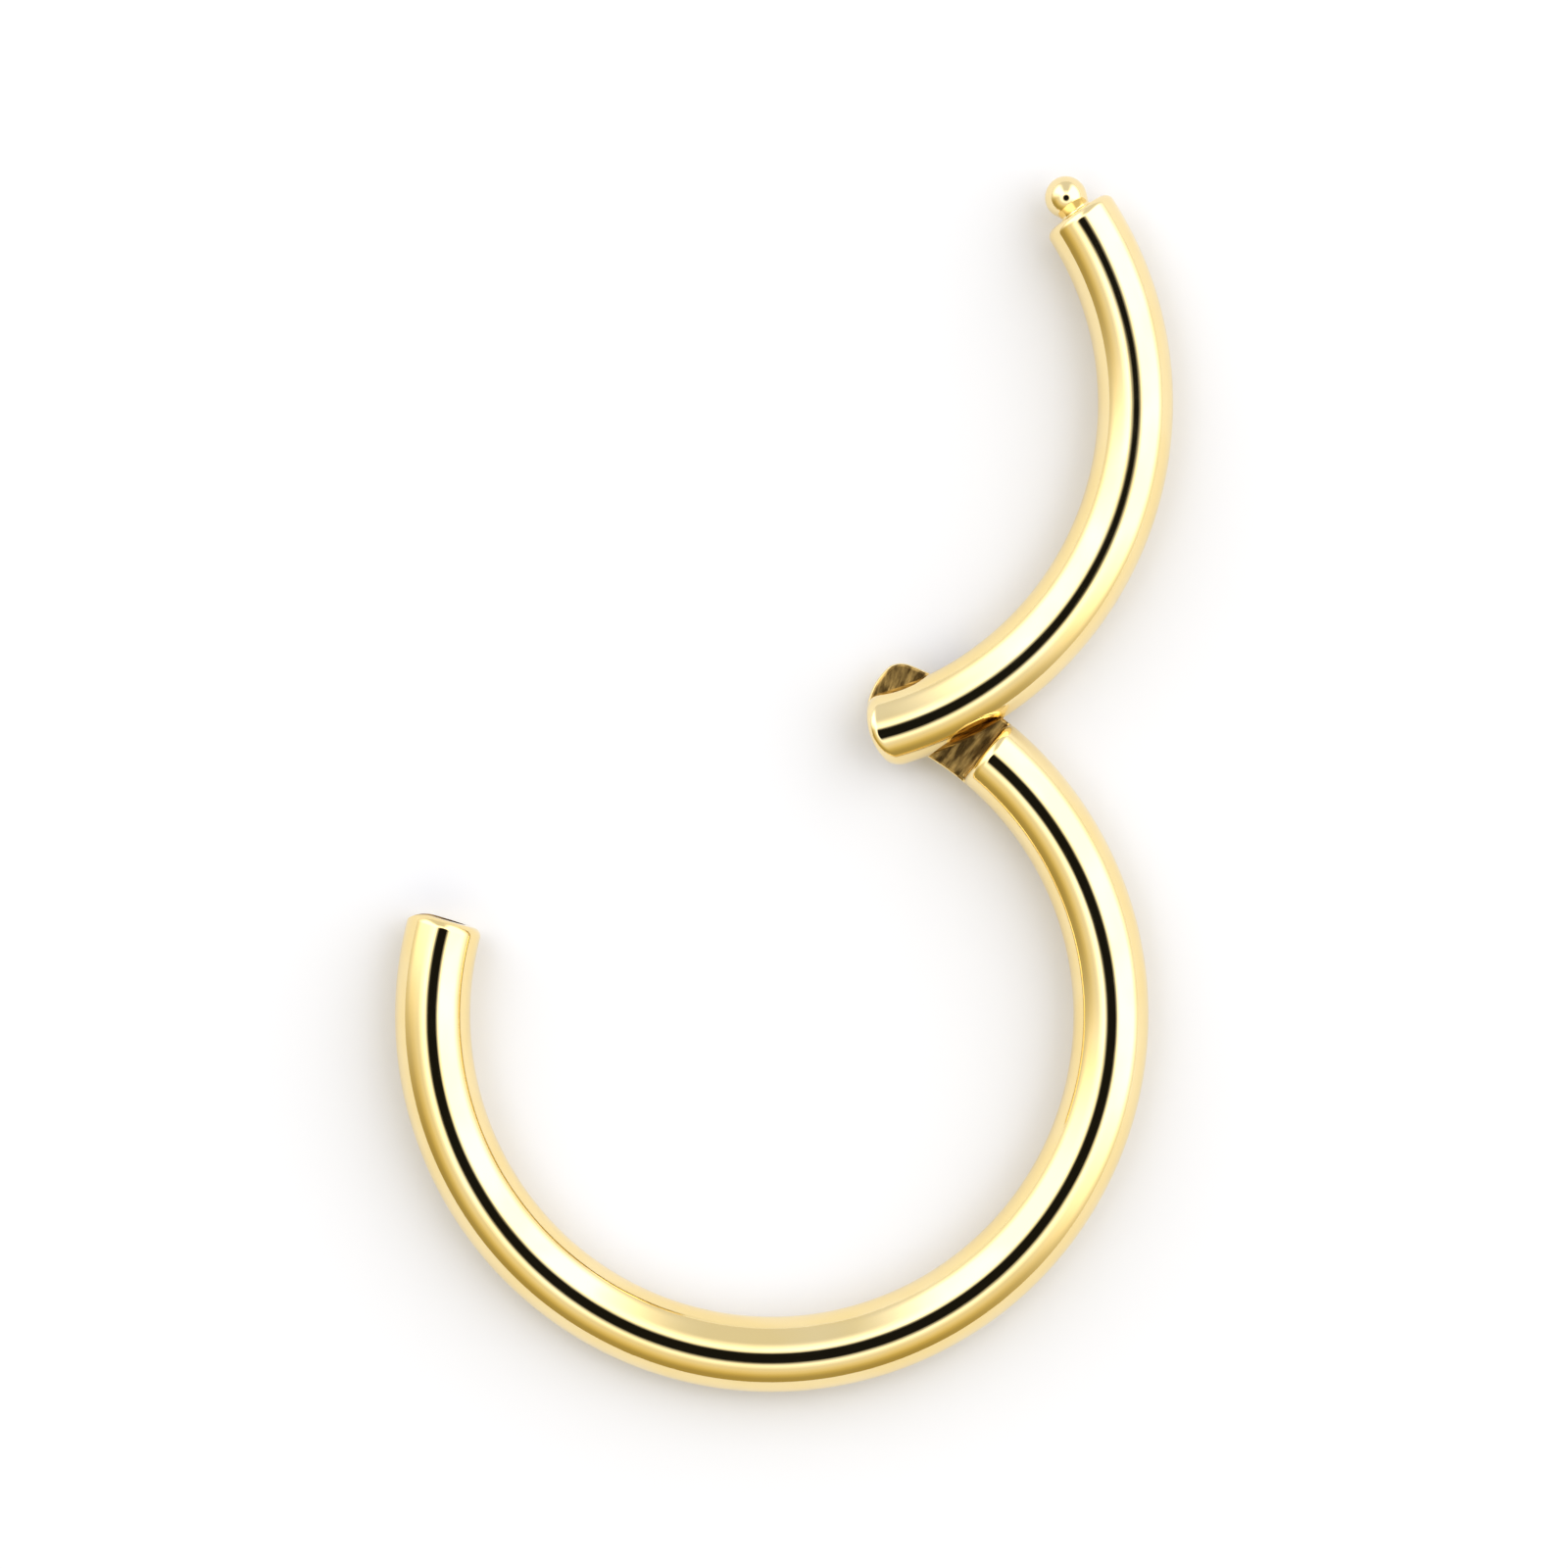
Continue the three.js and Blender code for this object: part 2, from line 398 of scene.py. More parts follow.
def make_sleeve(tree, total_rings):
    line = tree.nodes.new("GeometryNodeCurvePrimitiveLine")
    rings = tree.nodes.new("GeometryNodeResampleCurve")
    circle = tree.nodes.new("GeometryNodeCurvePrimitiveCircle")
    circle.inputs["Resolution"].default_value = SIDES
    tree.links.new(line.outputs[0], rings.inputs["Curve"])
    feed(tree, rings.inputs["Count"], total_rings)
    path, ring = captured_index(tree, rings.outputs[0], "Ring")
    section, column = captured_index(tree, circle.outputs[0], "Column")
    sleeve = tree.nodes.new("GeometryNodeCurveToMesh")
    tree.links.new(path, sleeve.inputs["Curve"])
    tree.links.new(section, sleeve.inputs["Profile Curve"])
    return sleeve.outputs[0], ring, column


def placed(tree, geometry, position=None, offset=None):
    node = tree.nodes.new("GeometryNodeSetPosition")
    tree.links.new(geometry, node.inputs["Geometry"])
    if position:
        tree.links.new(position.source, node.inputs["Position"])
    if offset:
        tree.links.new(offset.source, node.inputs["Offset"])
    return node.outputs[0]


def distance_at(tree, place, size):
    node = tree.nodes.new("GeometryNodeGroup")
    node.node_tree = distance_tree
    for name in BAR_SIZES:
        tree.links.new(size[name].source, node.inputs[name])
    tree.links.new(place.source, node.inputs["Place"])
    return Number(tree, node.outputs[0])


def slope_of(tree, place, here, size):
    x, y, z = place
    aside = [vector_of(x + SLOPE_REACH, y, z), vector_of(x, y + SLOPE_REACH, z)]
    aside.append(vector_of(x, y, z + SLOPE_REACH))
    return [(distance_at(tree, point, size) - here) / SLOPE_REACH for point in aside]


def near_step_corner(x, y, z, size):
    """1 close to the two points where the foot of the step meets the side of the wire, 0 away from them."""
    angle, from_axis = place_on_bar(x, y, size)
    along = (angle - size["Shoulder Angle"]) * size["Ring Radius"]
    beside = calculate(x.tree, "ABSOLUTE", from_axis - size["Ring Radius"]) - size["Wire Radius"]
    return ramp(hypotenuse(hypotenuse(along, beside), z - size["Lap Height"]), *RELAX_REACH)


def relaxed(tree, geometry, size):
    """Evens out the crowded points near the step's corners by a blur of their places."""
    position = tree.nodes.new("GeometryNodeInputPosition").outputs[0]
    blur = tree.nodes.new("GeometryNodeBlurAttribute")
    blur.data_type = "FLOAT_VECTOR"
    blur.inputs["Iterations"].default_value = BLUR_STEPS
    tree.links.new(position, blur.inputs["Value"])
    weight = near_step_corner(*parts_of(Number(tree, position)), size)
    tree.links.new(weight.source, blur.inputs["Weight"])
    return placed(tree, geometry, Number(tree, blur.outputs[0]))


def pulled_tight(tree, geometry, size, rounds, relax=False):
    """A Repeat Zone that moves each point down the slope of the distance, a full step in each round."""
    start = tree.nodes.new("GeometryNodeRepeatInput")
    stop = tree.nodes.new("GeometryNodeRepeatOutput")
    start.pair_with_output(stop)
    start.inputs["Iterations"].default_value = rounds
    tree.links.new(geometry, start.inputs["Geometry"])
    body = start.outputs["Geometry"]
    if relax:
        body = relaxed(tree, body, size)
    place = parts_of(Number(tree, tree.nodes.new("GeometryNodeInputPosition").outputs[0]))
    here = distance_at(tree, vector_of(*place), size)
    slope = slope_of(tree, place, here, size)
    steepness = slope[0] * slope[0] + slope[1] * slope[1] + slope[2] * slope[2]
    step = -here / larger(steepness, LEAST_STEEPNESS)
    moved = placed(tree, body, offset=vector_of(slope[0] * step, slope[1] * step, slope[2] * step))
    tree.links.new(moved, stop.inputs["Geometry"])
    return stop.outputs["Geometry"]


def merged(tree, geometry):
    node = tree.nodes.new("GeometryNodeMergeByDistance")
    tree.links.new(geometry, node.inputs["Geometry"])
    node.inputs["Distance"].default_value = MERGE_REACH
    return node.outputs[0]


def cut_by(tree, geometry, cutters):
    """The body less the cutters, one object of closed shells. The walls of the holes get its material."""
    info = tree.nodes.new("GeometryNodeObjectInfo")
    tree.links.new(cutters.source, info.inputs["Object"])
    cut = tree.nodes.new("GeometryNodeMeshBoolean")
    cut.operation = "DIFFERENCE"
    cut.solver = "MANIFOLD"
    tree.links.new(geometry, cut.inputs["Mesh 1"])
    tree.links.new(info.outputs["Geometry"], cut.inputs["Mesh 2"])
    return cut.outputs[0]


def stored(tree, geometry, name, kind, domain, value):
    node = tree.nodes.new("GeometryNodeStoreNamedAttribute")
    node.data_type = kind
    node.domain = domain
    node.inputs["Name"].default_value = name
    tree.links.new(geometry, node.inputs["Geometry"])
    tree.links.new(value.source, node.inputs["Value"])
    return node.outputs[0]


def milled_and_shaded_faces(tree, size):
    """1 on the lap face, on the face of the step and at its corners, and 0 elsewhere."""
    # Where this is 1, the milled finish goes, and with it the dark brown that is painted shade.
    x, y, z = parts_of(Number(tree, tree.nodes.new("GeometryNodeInputPosition").outputs[0]))
    normal = parts_of(Number(tree, tree.nodes.new("GeometryNodeInputNormal").outputs[0]))
    angle, from_axis = place_on_bar(x, y, size)
    level = calculate(tree, "GREATER_THAN", calculate(tree, "ABSOLUTE", normal[2]), LAP_LEVEL)
    in_tongue = calculate(tree, "LESS_THAN", angle, size["Shoulder Angle"])
    lap_face = calculate(tree, "COMPARE", z, size["Lap Height"], LAP_TOLERANCE) * level * in_tongue
    past_step = beyond(angle, size["Shoulder Angle"], from_axis)
    step_face = calculate(tree, "COMPARE", past_step, 0.0, STEP_TOLERANCE)
    step_face = step_face * calculate(tree, "LESS_THAN", z, size["Lap Height"])
    corner = calculate(tree, "GREATER_THAN", near_step_corner(x, y, z, size), CORNER_WEIGHT)
    corner = corner * calculate(tree, "COMPARE", z, size["Lap Height"], CORNER_TOLERANCE)
    corner = corner * calculate(tree, "LESS_THAN", past_step, CORNER_TOLERANCE)
    return larger(larger(lap_face, step_face), corner)


def with_material(tree, geometry, material, attribute=None):
    node = tree.nodes.new("GeometryNodeSetMaterial")
    tree.links.new(geometry, node.inputs["Geometry"])
    tree.links.new(material.source, node.inputs["Material"])
    if attribute:
        selection = tree.nodes.new("GeometryNodeInputNamedAttribute")
        selection.data_type = "BOOLEAN"
        selection.inputs["Name"].default_value = attribute
        tree.links.new(selection.outputs[0], node.inputs["Selection"])
    return node.outputs[0]


def make_bar_tree():
    tree = new_tree("Lapped Bar", BAR_SIZES + ("Wire Rings",))
    for name, kind in (("Cutters", "Object"), ("Polished Metal", "Material"), ("Shaded Milled Metal", "Material")):
        tree.interface.new_socket(name=name, in_out="INPUT", socket_type="NodeSocket" + kind)
    tree.interface.new_socket(name="Geometry", in_out="OUTPUT", socket_type="NodeSocketGeometry")
    size = inputs_of(tree)
    sleeve, ring, column = make_sleeve(tree, size["Wire Rings"] + (FIXED_RINGS + 1))
    angle, outward, height = sleeve_place(ring, column, size["Wire Rings"], size)
    from_axis = size["Ring Radius"] + outward
    sleeve = placed(tree, sleeve, vector_of(from_axis * cosine(angle), from_axis * sine(angle), height))
    body = pulled_tight(tree, merged(tree, sleeve), size, FIRST_ROUNDS)
    body = pulled_tight(tree, body, size, RELAX_ROUNDS, relax=True)
    body = pulled_tight(tree, body, size, LAST_ROUNDS)
    body = with_material(tree, body, size["Polished Metal"])
    body = cut_by(tree, body, size["Cutters"])

    # Where a point is on the wire, for patterns that run along it.
    x, y, z = parts_of(Number(tree, tree.nodes.new("GeometryNodeInputPosition").outputs[0]))
    final_angle, final_from_axis = place_on_bar(x, y, size)
    on_wire = vector_of(final_angle * size["Ring Radius"], final_from_axis - size["Ring Radius"], z)
    body = stored(tree, body, "along_wire", "FLOAT_VECTOR", "POINT", on_wire)
    body = stored(tree, body, "milled", "BOOLEAN", "FACE", milled_and_shaded_faces(tree, size))

    scale = tree.nodes.new("GeometryNodeTransform")
    scale.inputs["Scale"].default_value = (MM, MM, MM)
    realize = tree.nodes.new("GeometryNodeRealizeInstances")
    out = tree.nodes.new("NodeGroupOutput")
    tree.links.new(body, scale.inputs["Geometry"])
    tree.links.new(scale.outputs[0], realize.inputs["Geometry"])
    # The milled faces get the milled finish, whose dark brown is painted shade.
    body = with_material(tree, realize.outputs[0], size["Shaded Milled Metal"], "milled")
    tree.links.new(body, out.inputs["Geometry"])
    return tree


bar_tree = make_bar_tree()
print("the bar's tree has", len(bar_tree.nodes), "nodes")

# %% [markdown]
# Finishes
#
# The outside of the wire is polished to a mirror. Polished metal is never quite perfect: the plating is a
# little richer in some places than in others, and the drawing die and the polishing cloth leave faint lines
# along the wire. Those lines read the attribute that the tree stored, so they bend with the wire. The flats
# of the hinge and the walls of the holes are left as the cutter made them, rougher, with the marks of the
# tool and blotchy stains. Their dark brown gold is painted shade, standing in for the shade and the dark
# reflection on these flats and in the holes. The rivet is turned, so its marks are rings about the pin.

# %% Helpers for materials
def noise(place, waves, detail=2.0):
    """Noise with this many waves to a unit each way. It gives 0 to 1, mostly close to a half."""
    x, y, z = (part * count for part, count in zip(place, waves))
    tree = x.tree
    node = tree.nodes.new("ShaderNodeTexNoise")
    node.inputs["Scale"].default_value = 1.0
    node.inputs["Detail"].default_value = detail
    tree.links.new(vector_of(x, y, z).source, node.inputs["Vector"])
    return Number(tree, node.outputs["Fac"])


def start_metal(name):
    material = bpy.data.materials.new(name)
    material.use_nodes = True
    shader = material.node_tree.nodes["Principled BSDF"]
    shader.inputs["Metallic"].default_value = 1.0
    return material, material.node_tree, shader


def attribute_of(tree, name):
    node = tree.nodes.new("ShaderNodeAttribute")
    node.attribute_name = name
    return parts_of(Number(tree, node.outputs["Vector"]))


def object_place(tree):
    """Where a point is on its object, in millimetres."""
    place = parts_of(Number(tree, tree.nodes.new("ShaderNodeTexCoord").outputs["Object"]))
    return [part * (1 / MM) for part in place]


def blend_colours(tree, shader, share, first, second):
    mix = tree.nodes.new("ShaderNodeMix")
    mix.data_type = "RGBA"
    tree.links.new(share.source, mix.inputs["Factor"])
    mix.inputs["A"].default_value = (*first, 1.0)
    mix.inputs["B"].default_value = (*second, 1.0)
    tree.links.new(mix.outputs["Result"], shader.inputs["Base Color"])


def emboss(tree, shader, height, depth):
    """Marks in the surface, this many millimetres deep."""
    bump = tree.nodes.new("ShaderNodeBump")
    bump.inputs["Distance"].default_value = depth * MM
    tree.links.new(height.source, bump.inputs["Height"])
    tree.links.new(bump.outputs[0], shader.inputs["Normal"])


print("helpers ready")

# %% Polished gold
PALE_GOLD = 0.93, 0.76, 0.41
RICH_GOLD = 0.92, 0.73, 0.35
POLISHED_ROUGHNESS = 0.035, 0.075
# Waves in a millimetre along the wire, outwards and up, and the step over which the noise blends.
PLATING, PLATING_STEP = (0.8, 1.5, 1.5), (0.35, 0.65)
CLOTH, CLOTH_STEP = (4.0, 30.0, 30.0), (0.4, 0.75)
DRAWN_LINES = 0.4, 22.0, 22.0
HAND_WAVES = 1.2, 2.0, 2.0  # that hand polishing leaves
HAND_WAVE_SHARE = 4.0  # how much deeper they are than the drawn lines
POLISH_DEPTH = 0.0004  # millimetres, as the other depths are


def make_polished_gold():
    material, tree, shader = start_metal("polished gold")
    place = attribute_of(tree, "along_wire")
    blend_colours(tree, shader, ramp(noise(place, PLATING), *PLATING_STEP), PALE_GOLD, RICH_GOLD)
    cloth = ramp(noise(place, CLOTH, detail=3.0), *CLOTH_STEP)
    feed(tree, shader.inputs["Roughness"], between(*POLISHED_ROUGHNESS, cloth))
    height = noise(place, DRAWN_LINES) + noise(place, HAND_WAVES) * HAND_WAVE_SHARE
    emboss(tree, shader, height, POLISH_DEPTH)
    return material


polished_gold = make_polished_gold()
print(polished_gold.name, "with", len(polished_gold.node_tree.nodes), "nodes")

# %% Milled gold, with painted shade
# Both tones are painted shade: a dark brown gold that stands in for the shade and the dark reflection on the
# flats. The noise that mottles between them is stains.
MILLED_SHADE_PALE = 0.5, 0.32, 0.1
MILLED_SHADE_DARK = 0.12, 0.07, 0.02
MILLED_ROUGHNESS = 0.2, 0.4
STAINS, STAINS_STEP = (8.0, 2.5, 8.0), (0.38, 0.62)
CHATTER = 45.0, 3.0, 45.0
CHATTER_DEPTH = 0.004


def make_shaded_milled_gold():
    material, tree, shader = start_metal("milled gold with painted shade")
    place = attribute_of(tree, "along_wire")
    stains = noise(place, STAINS, detail=4.0)
    # The stains blend between two tones that are both painted shade.
    blend_colours(tree, shader, ramp(stains, *STAINS_STEP), MILLED_SHADE_DARK, MILLED_SHADE_PALE)
    feed(tree, shader.inputs["Roughness"], between(*MILLED_ROUGHNESS, stains))
    emboss(tree, shader, noise(place, CHATTER) + stains, CHATTER_DEPTH)
    return material


shaded_milled_gold = make_shaded_milled_gold()
print(shaded_milled_gold.name, "with", len(shaded_milled_gold.node_tree.nodes), "nodes")

# %% Turned gold for the rivet
TURNED_LIGHT = 0.92, 0.66, 0.29
TURNED_DARK = 0.75, 0.5, 0.2
TURNED_ROUGHNESS = 0.14, 0.28
TURNING = 60.0, 40.0, 0.5  # waves in a millimetre from the pin's axis outwards, up and sideways
TURNING_DEPTH = 0.002
TARNISH = 5.0, 5.0, 5.0


def make_turned_gold():
    material, tree, shader = start_metal("turned gold")
    x, y, z = object_place(tree)
    from_pin = hypotenuse(x - pin_place.x / MM, y - pin_place.y / MM)
    tarnish = noise((x, y, z), TARNISH, detail=3.0)
    blend_colours(tree, shader, tarnish, TURNED_DARK, TURNED_LIGHT)
    feed(tree, shader.inputs["Roughness"], between(*TURNED_ROUGHNESS, tarnish))
    emboss(tree, shader, noise((from_pin, z, x), TURNING), TURNING_DEPTH)
    return material


turned_gold = make_turned_gold()
print(turned_gold.name, "with", len(turned_gold.node_tree.nodes), "nodes")

# %% [markdown]
# Holes for the pin and the ball
#
# The rivet runs through both tongues: a through hole with room to turn in the hoop, and a blind hole in the
# segment, so that the front stays bare. The hoop's free end has a socket for the ball. The ball swings
# about the pin, so its socket is not drilled straight but follows that arc, and it ends in a ball. Drawing
# the tools and letting a boolean cut them away keeps the holes crisp, where the rule would round them. A
# tool is a skin over a row of rings.

# %% A skin over rings of points
def ring_about(centre, across, up, radius, sides):
    """Points round a circle that lies in the plane of two directions."""
    turns = [2 * math.pi * i / sides for i in range(sides)]
    return [centre + (across * math.cos(turn) + up * math.sin(turn)) * radius for turn in turns]


def skin_over(name, shells):
    """One mesh of closed shells. A shell is its first point, its rings, and its last point."""
    built = bmesh.new()
    for first, rings, last in shells:
        rows = [[built.verts.new(point) for point in ring] for ring in rings]
        for row, following in zip(rows, rows[1:]):
            for i in range(len(row)):
                built.faces.new((row[i - 1], row[i], following[i], following[i - 1]))
        for row, point in ((rows[0], first), (rows[-1], last)):
            pole = built.verts.new(point)
            for i in range(len(row)):
                built.faces.new((row[i - 1], row[i], pole))
    bmesh.ops.recalc_face_normals(built, faces=built.faces)
    mesh = bpy.data.meshes.new(name)
    built.to_mesh(mesh)
    built.free()
    return mesh


def turned_shell(x, y, profile, sides):
    """The shell that a lathe would turn about an upright axis, from (radius, height) pairs."""
    up = Vector((0, 0, 1))
    across = Vector((1, 0, 0))
    rings = [
        ring_about(Vector((x, y, height)), across, across.cross(up), radius, sides)
        for radius, height in profile if radius > 0
    ]
    return Vector((x, y, profile[0][1])), rings, Vector((x, y, profile[-1][1]))


HOLE_SIDES = 96
print("a hole has", HOLE_SIDES, "sides")

# %% The tools that cut the holes
segment_arc = free_end_angle - hinge_angle - shut_gap / ring_radius
hoop_arc = 2 * math.pi - (free_end_angle - hinge_angle)
ball_angle = segment_arc + ball_reach / ring_radius
slant = math.pi / 2 - ball_angle / 2  # between the neck and the ball's path
neck_sweep = ball_reach * math.sin(slant) + neck_radius * math.cos(slant)
socket_radius = max(ball_radius, neck_sweep) + catch_gap
SOCKET_RINGS, SOCKET_END_RINGS = 40, 24


def socket_shell():
    """Follows the ball's path about the pin, for the hoop as it is drawn, turned over."""
    up = Vector((0, 0, 1))
    pin = Vector((ring_radius, 0, 0))
    shut_ball = Vector((math.cos(ball_angle), -math.sin(ball_angle), 0)) * ring_radius
    swing = shut_ball - pin
    way = (2 * wire_radius + ball_reach) / swing.length
    rings = []
    for i in range(SOCKET_RINGS):
        out = Matrix.Rotation(way * (1 - i / SOCKET_RINGS), 3, "Z") @ swing
        rings.append(ring_about(pin + out, out.normalized(), up, socket_radius, HOLE_SIDES))
    inwards = swing.cross(up).normalized()
    for i in range(SOCKET_END_RINGS):
        turn = math.pi / 2 * i / SOCKET_END_RINGS
        centre = shut_ball + inwards * socket_radius * math.sin(turn)
        rings.append(ring_about(centre, swing.normalized(), up, socket_radius * math.cos(turn), HOLE_SIDES))
    first = pin + Matrix.Rotation(way, 3, "Z") @ swing
    return first, rings, shut_ball + inwards * socket_radius


def bore_shell(radius, top):
    return turned_shell(ring_radius, 0, [(radius, -2 * wire_radius), (radius, top)], HOLE_SIDES)


hoop_tools = skin_over("hoop_tools", [socket_shell(), bore_shell(pin_radius + running_gap, 2 * wire_radius)])
segment_tools = skin_over("segment_tools", [bore_shell(pin_radius + press_gap, wire_radius - front_skin)])
print(f"socket {2 * socket_radius:.3f} mm wide in wire {2 * wire_radius:.3f} mm thick")

# %% [markdown]
# The two wires
#
# Both bars are drawn alike, with the pin on +X and the body running anticlockwise. The segment lies that
# way when the ring is shut, and is then swung open about the pin. The hoop is the same bar turned over,
# because its tongue keeps the lower half of the wire, under the segment's. Making both with one tree is why
# the laps fit.

# %% Make a bar from the tree
SHARP_FROM = math.radians(35)


def put(mesh, name):
    piece = bpy.data.objects.new(name, mesh)
    bpy.context.scene.collection.objects.link(piece)
    return piece


def make_bar(name, values, place):
    piece = put(bpy.data.meshes.new(name), name)
    tools = put(values["Cutters"], name + "_tools")
    # The walls of the holes get the milled finish, whose dark brown is painted shade.
    tools.data.materials.append(shaded_milled_gold)
    modifier = piece.modifiers.new("bar", "NODES")
    modifier.node_group = bar_tree
    values = {**values, "Cutters": tools, "Polished Metal": polished_gold, "Shaded Milled Metal": shaded_milled_gold}
    for item in bar_tree.interface.items_tree:
        if item.in_out == "INPUT":
            value = values[item.name]
            modifier[item.identifier] = float(value) if isinstance(value, (int, float)) else value
    graph = bpy.context.evaluated_depsgraph_get()
    mesh = bpy.data.meshes.new_from_object(piece.evaluated_get(graph), depsgraph=graph)
    piece.modifiers.remove(modifier)
    bpy.data.objects.remove(tools)
    mesh.name = name
    mesh.transform(place)
    mesh.shade_smooth()
    mesh.set_sharp_from_angle(angle=SHARP_FROM)
    piece.data = mesh
    print(name, len(mesh.polygons), "faces in", [metal.name for metal in mesh.materials])
    return piece


common = {
    "Ring Radius": ring_radius, "Wire Radius": wire_radius,
    "Shoulder Angle": math.asin(shoulder / ring_radius), "Tongue Reach": shoulder - tongue_gap,
    "Lap Height": lap_gap / 2, "Rim Rounding": rim_rounding, "Lap Rounding": lap_rounding,
}
with_ball = {
    "Ball Radius": ball_radius, "Ball Reach": ball_reach,
    "Neck Radius": neck_radius, "Neck Fillet": neck_fillet,
}
without_ball = dict.fromkeys(with_ball, 0.0)

# %% The hoop and the segment
HOOP_RINGS, SEGMENT_RINGS = 300, 140  # of plain wire
ring_centre = pin_place - Vector((math.cos(hinge_angle), math.sin(hinge_angle), 0)) * ring_radius * MM
to_ring = Matrix.Translation(ring_centre) @ Matrix.Rotation(hinge_angle, 4, "Z")
turned_over = Matrix.Rotation(math.pi, 4, "X")
swung_out = Matrix.Rotation(-open_angle, 4, "Z")
opened = Matrix.Translation(pin_place) @ swung_out @ Matrix.Translation(-pin_place)
hoop = make_bar(
    "hoop_wire",
    {**common, **without_ball, "Arc": hoop_arc, "Wire Rings": HOOP_RINGS, "Cutters": hoop_tools},
    to_ring @ turned_over,
)
segment = make_bar(
    "segment_wire",
    {**common, **with_ball, "Arc": segment_arc, "Wire Rings": SEGMENT_RINGS, "Cutters": segment_tools},
    opened @ to_ring,
)

# %% [markdown]
# The rivet
#
# A short pin, fixed in the segment from behind and free to turn in the hoop. Only its end shows, in the
# back of the hinge, filed to the roundness of the wire so that it never catches. A lathe would turn it, so
# it is a profile turned about the pin's axis, with its edges broken as a file leaves them.

# %% Turn the rivet
rivet_edge = 0.025  # rounding of its two edges
RIVET_RINGS = 10  # in its back end


def arc_points(radius, height, rounding, start, stop, steps=6):
    """(radius, height) pairs round a broken edge whose centre is at radius and height."""
    turns = [math.radians(start + (stop - start) * i / steps) for i in range(steps + 1)]
    return [(radius + rounding * math.cos(turn), height + rounding * math.sin(turn)) for turn in turns]


def rivet_profile():
    inner = pin_radius - rivet_edge
    dome = [inner * i / RIVET_RINGS for i in range(RIVET_RINGS)]
    back = [(radius, -math.sqrt(wire_radius ** 2 - radius ** 2)) for radius in dome]
    back_edge = -math.sqrt(wire_radius ** 2 - inner ** 2) + rivet_edge
    front = wire_radius - front_skin - press_gap
    back += arc_points(inner, back_edge, rivet_edge, -90, 0)
    return back + arc_points(inner, front - rivet_edge, rivet_edge, 0, 90) + [(inner / 2, front), (0, front)]


mm_place = pin_place / MM
shell = turned_shell(mm_place.x, mm_place.y, [(r, mm_place.z + h) for r, h in rivet_profile()], HOLE_SIDES)
rivet_mesh = skin_over("hinge_rivet", [shell])
rivet_mesh.transform(Matrix.Scale(MM, 4))
rivet_mesh.materials.append(turned_gold)
rivet_mesh.shade_smooth()
rivet_mesh.set_sharp_from_angle(angle=SHARP_FROM)
rivet = put(rivet_mesh, "hinge_rivet")
print(rivet.name, len(rivet_mesh.polygons), "faces")

# %% [markdown]
# Who moves with whom
#
# The rivet is fixed in the segment, so both swing together. Each piece takes the place of one solid, which
# is hidden.

# %% Ride on the bodies
for piece, node, body, finish in (
    (hoop, "hoop", "hoop", "polished_wire"),
    (segment, "segment", "segment", "polished_wire"),
    (rivet, "hinge_pin", "segment", "rivet"),
):
    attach(piece, body)
    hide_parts(node)
print("pieces", [piece.name for piece in (hoop, segment, rivet)])

# %% [markdown]
# The floor
#
# The ring lies on a plain white sheet, big enough to reach the horizon from any side. Its white wanders a
# little, as card does.

# %% A plain pale floor
FLOOR_REACH = 0.6  # metres from the middle to an edge
FLOOR_WHITE = 0.765, 0.775, 0.82
FLOOR_WANDER = 0.99, 1.01  # the least and the most of that white
CARD = 0.15, 0.15, 1.0  # waves in a millimetre


def make_floor():
    mesh = bpy.data.meshes.new("floor")
    corners = [(x * FLOOR_REACH, y * FLOOR_REACH, 0) for x, y in ((-1, -1), (1, -1), (1, 1), (-1, 1))]
    mesh.from_pydata(corners, [], [(0, 1, 2, 3)])
    material = bpy.data.materials.new("pale floor")
    material.use_nodes = True
    tree = material.node_tree
    shader = tree.nodes["Principled BSDF"]
    shader.inputs["Roughness"].default_value = 0.7
    card = noise(object_place(tree), CARD, detail=4.0)
    white = tree.nodes.new("ShaderNodeCombineColor")
    for socket, share in zip(white.inputs, FLOOR_WHITE):
        feed(tree, socket, between(share * FLOOR_WANDER[0], share * FLOOR_WANDER[1], card))
    tree.links.new(white.outputs[0], shader.inputs["Base Color"])
    mesh.materials.append(material)
    floor = put(mesh, "floor")
    floor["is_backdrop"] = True


make_floor()
print("floor", 2 * FLOOR_REACH, "m wide")

# %% [markdown]
# The light tent
#
# Polished metal shows nothing but its surroundings, so the light is the material here. Jewellery is
# photographed in a white tent: light comes softly from all over, brightest from the top right. The wall
# below the ring is darker and warmer, which gives the gold its depth on that side, and the opening for the
# lens is the dark eye that runs along every wire as a thin black line. A world that depends on direction
# alone does all of that without one lamp, and the shadows stay soft.

# %% The tent as a world
# Pairs of heights are in degrees from straight up, and a part fades in from the first to the second.
BRIGHT_SIDE = math.radians(70)  # from +X
TENT_WHITE, TENT_HORIZON = 2.3, 1.0
HORIZON_HEIGHTS = 66.0, 88.0
PANEL_GREY = 0.8  # of a panel at the far side, +Y
PANEL_SIDES = 0.8, 0.98  # how squarely at +Y the panel starts and is whole
PANEL_HEIGHTS = 5.0, 40.0
DIM_HIGH, DIM_LOW, DIM_DEEP = 0.9, 0.75, 0.42  # the dim wall at its top, its foot, and its deepest
DIM_SIDES = 0.15, -0.5  # how squarely at the bright side, negative away from it
DEEP_SIDES = -0.2, -0.75
DIM_HEIGHTS = 15.0, 45.0
LOW_HEIGHTS = 48.0, 80.0
WARM_GREEN, WARM_BLUE = 0.8, 0.3  # what the dim wall leaves of them at its deepest
WARM_START = 0.4  # of that warmth where the wall is least deep
WARM_HEIGHTS = 28.0, 70.0
EYE_DARK = 0.01
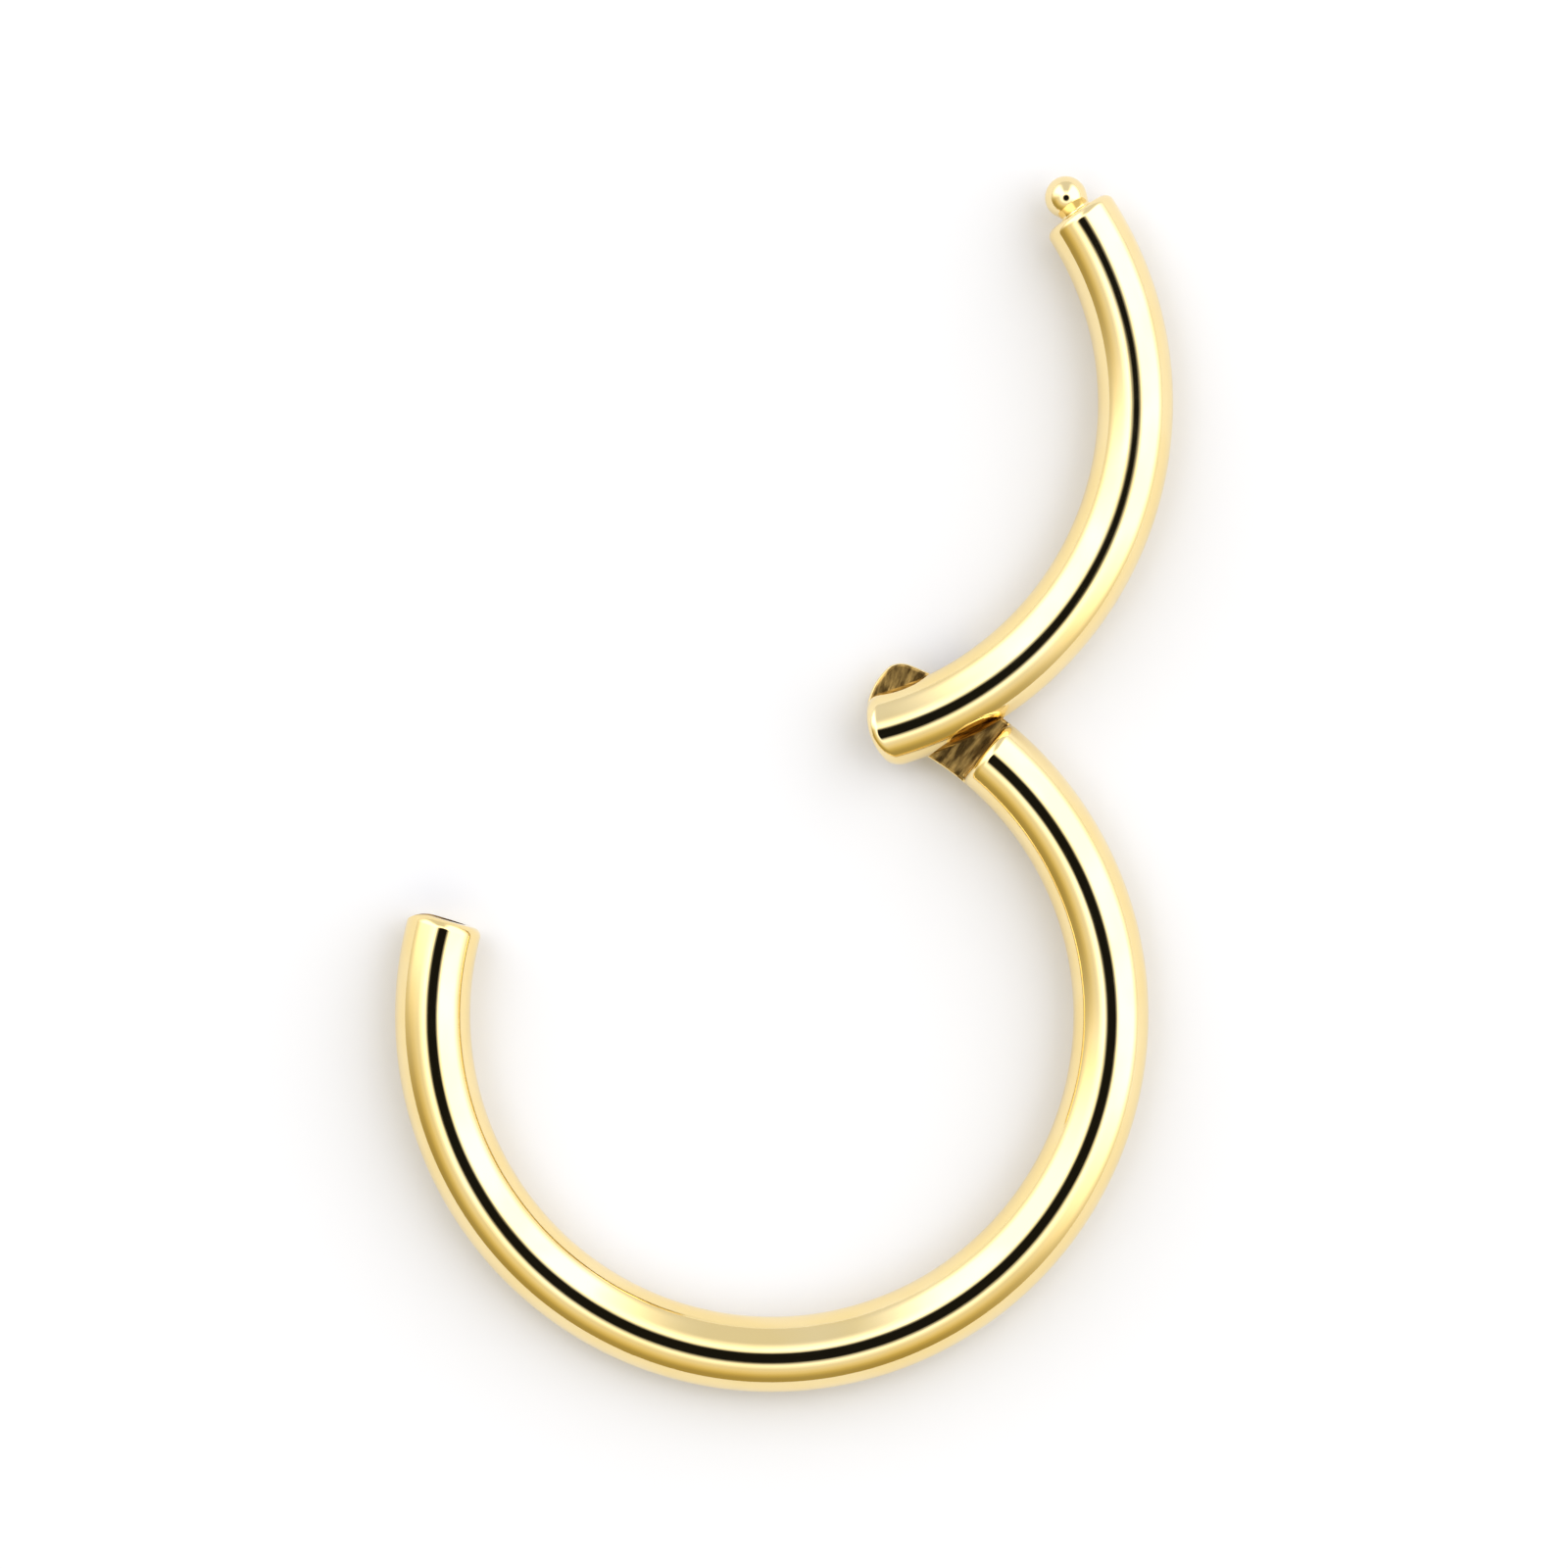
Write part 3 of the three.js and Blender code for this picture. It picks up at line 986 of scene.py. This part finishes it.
EYE_RADIUS, EYE_SOFTNESS = 19.0, 7.0  # degrees
EYE_TILT = math.radians(8)  # from straight up towards -Y


def degrees_from(cosine_of_angle):
    return calculate(cosine_of_angle.tree, "ARCCOSINE", cosine_of_angle) * (180 / math.pi)


def make_tent():
    world = bpy.data.worlds.new("light tent")
    world.use_nodes = True
    tree = world.node_tree
    x, y, z = parts_of(Number(tree, tree.nodes.new("ShaderNodeTexCoord").outputs["Generated"]))
    zenith = degrees_from(z)
    level = larger(hypotenuse(x, y), 1e-4)  # not nothing straight up, because side divides by it
    side = (x * math.cos(BRIGHT_SIDE) + y * math.sin(BRIGHT_SIDE)) / level

    light = between(TENT_WHITE, TENT_HORIZON, ramp(zenith, *HORIZON_HEIGHTS))
    light = between(light, PANEL_GREY, ramp(y / level, *PANEL_SIDES) * ramp(zenith, *PANEL_HEIGHTS))
    deep = ramp(side, *DEEP_SIDES)
    dim = ramp(side, *DIM_SIDES) * ramp(zenith, *DIM_HEIGHTS)
    wall = between(DIM_HIGH, between(DIM_LOW, DIM_DEEP, deep), ramp(zenith, *LOW_HEIGHTS))
    light = between(light, wall, dim)
    from_eye = degrees_from(z * math.cos(EYE_TILT) - y * math.sin(EYE_TILT))
    light = between(EYE_DARK, light, ramp(from_eye, EYE_RADIUS - EYE_SOFTNESS, EYE_RADIUS + EYE_SOFTNESS))

    warm = dim * ramp(zenith, *WARM_HEIGHTS) * between(WARM_START, 1.0, deep)
    colour = tree.nodes.new("ShaderNodeCombineColor")
    feed(tree, colour.inputs[0], light)
    feed(tree, colour.inputs[1], light * between(1.0, WARM_GREEN, warm))
    feed(tree, colour.inputs[2], light * between(1.0, WARM_BLUE, warm))
    tree.links.new(colour.outputs[0], tree.nodes["Background"].inputs[0])
    bpy.context.scene.world = world


make_tent()
bpy.context.scene.view_settings.view_transform = "Standard"
print("tent", TENT_WHITE, "bright, eye", 2 * EYE_RADIUS, "degrees wide")

# %% [markdown]
# The camera
#
# The photograph looks square at the ring, which lies on its side here, so the camera hangs straight above
# it. A long lens keeps the wire equally thick all over, as the photograph shows it.

# %% Hang the camera
LENS, SENSOR = 150.0, 36.0  # millimetres
FILLED = 0.78  # of the picture's height that the ring takes up

low_corner, high_corner = (Vector(corner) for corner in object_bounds())
middle = (low_corner + high_corner) / 2
camera_height = high_corner.z + (high_corner.y - low_corner.y) / FILLED * LENS / SENSOR
camera_data = bpy.data.cameras.new("camera")
camera_data.lens = LENS
camera_data.sensor_width = SENSOR
camera_data.clip_start = 0.005  # metres
camera = bpy.data.objects.new("camera", camera_data)
camera.location = (middle.x, middle.y, camera_height)
bpy.context.scene.collection.objects.link(camera)
bpy.context.scene.camera = camera
print(f"camera {camera_height * 1000:.0f} mm above the floor")
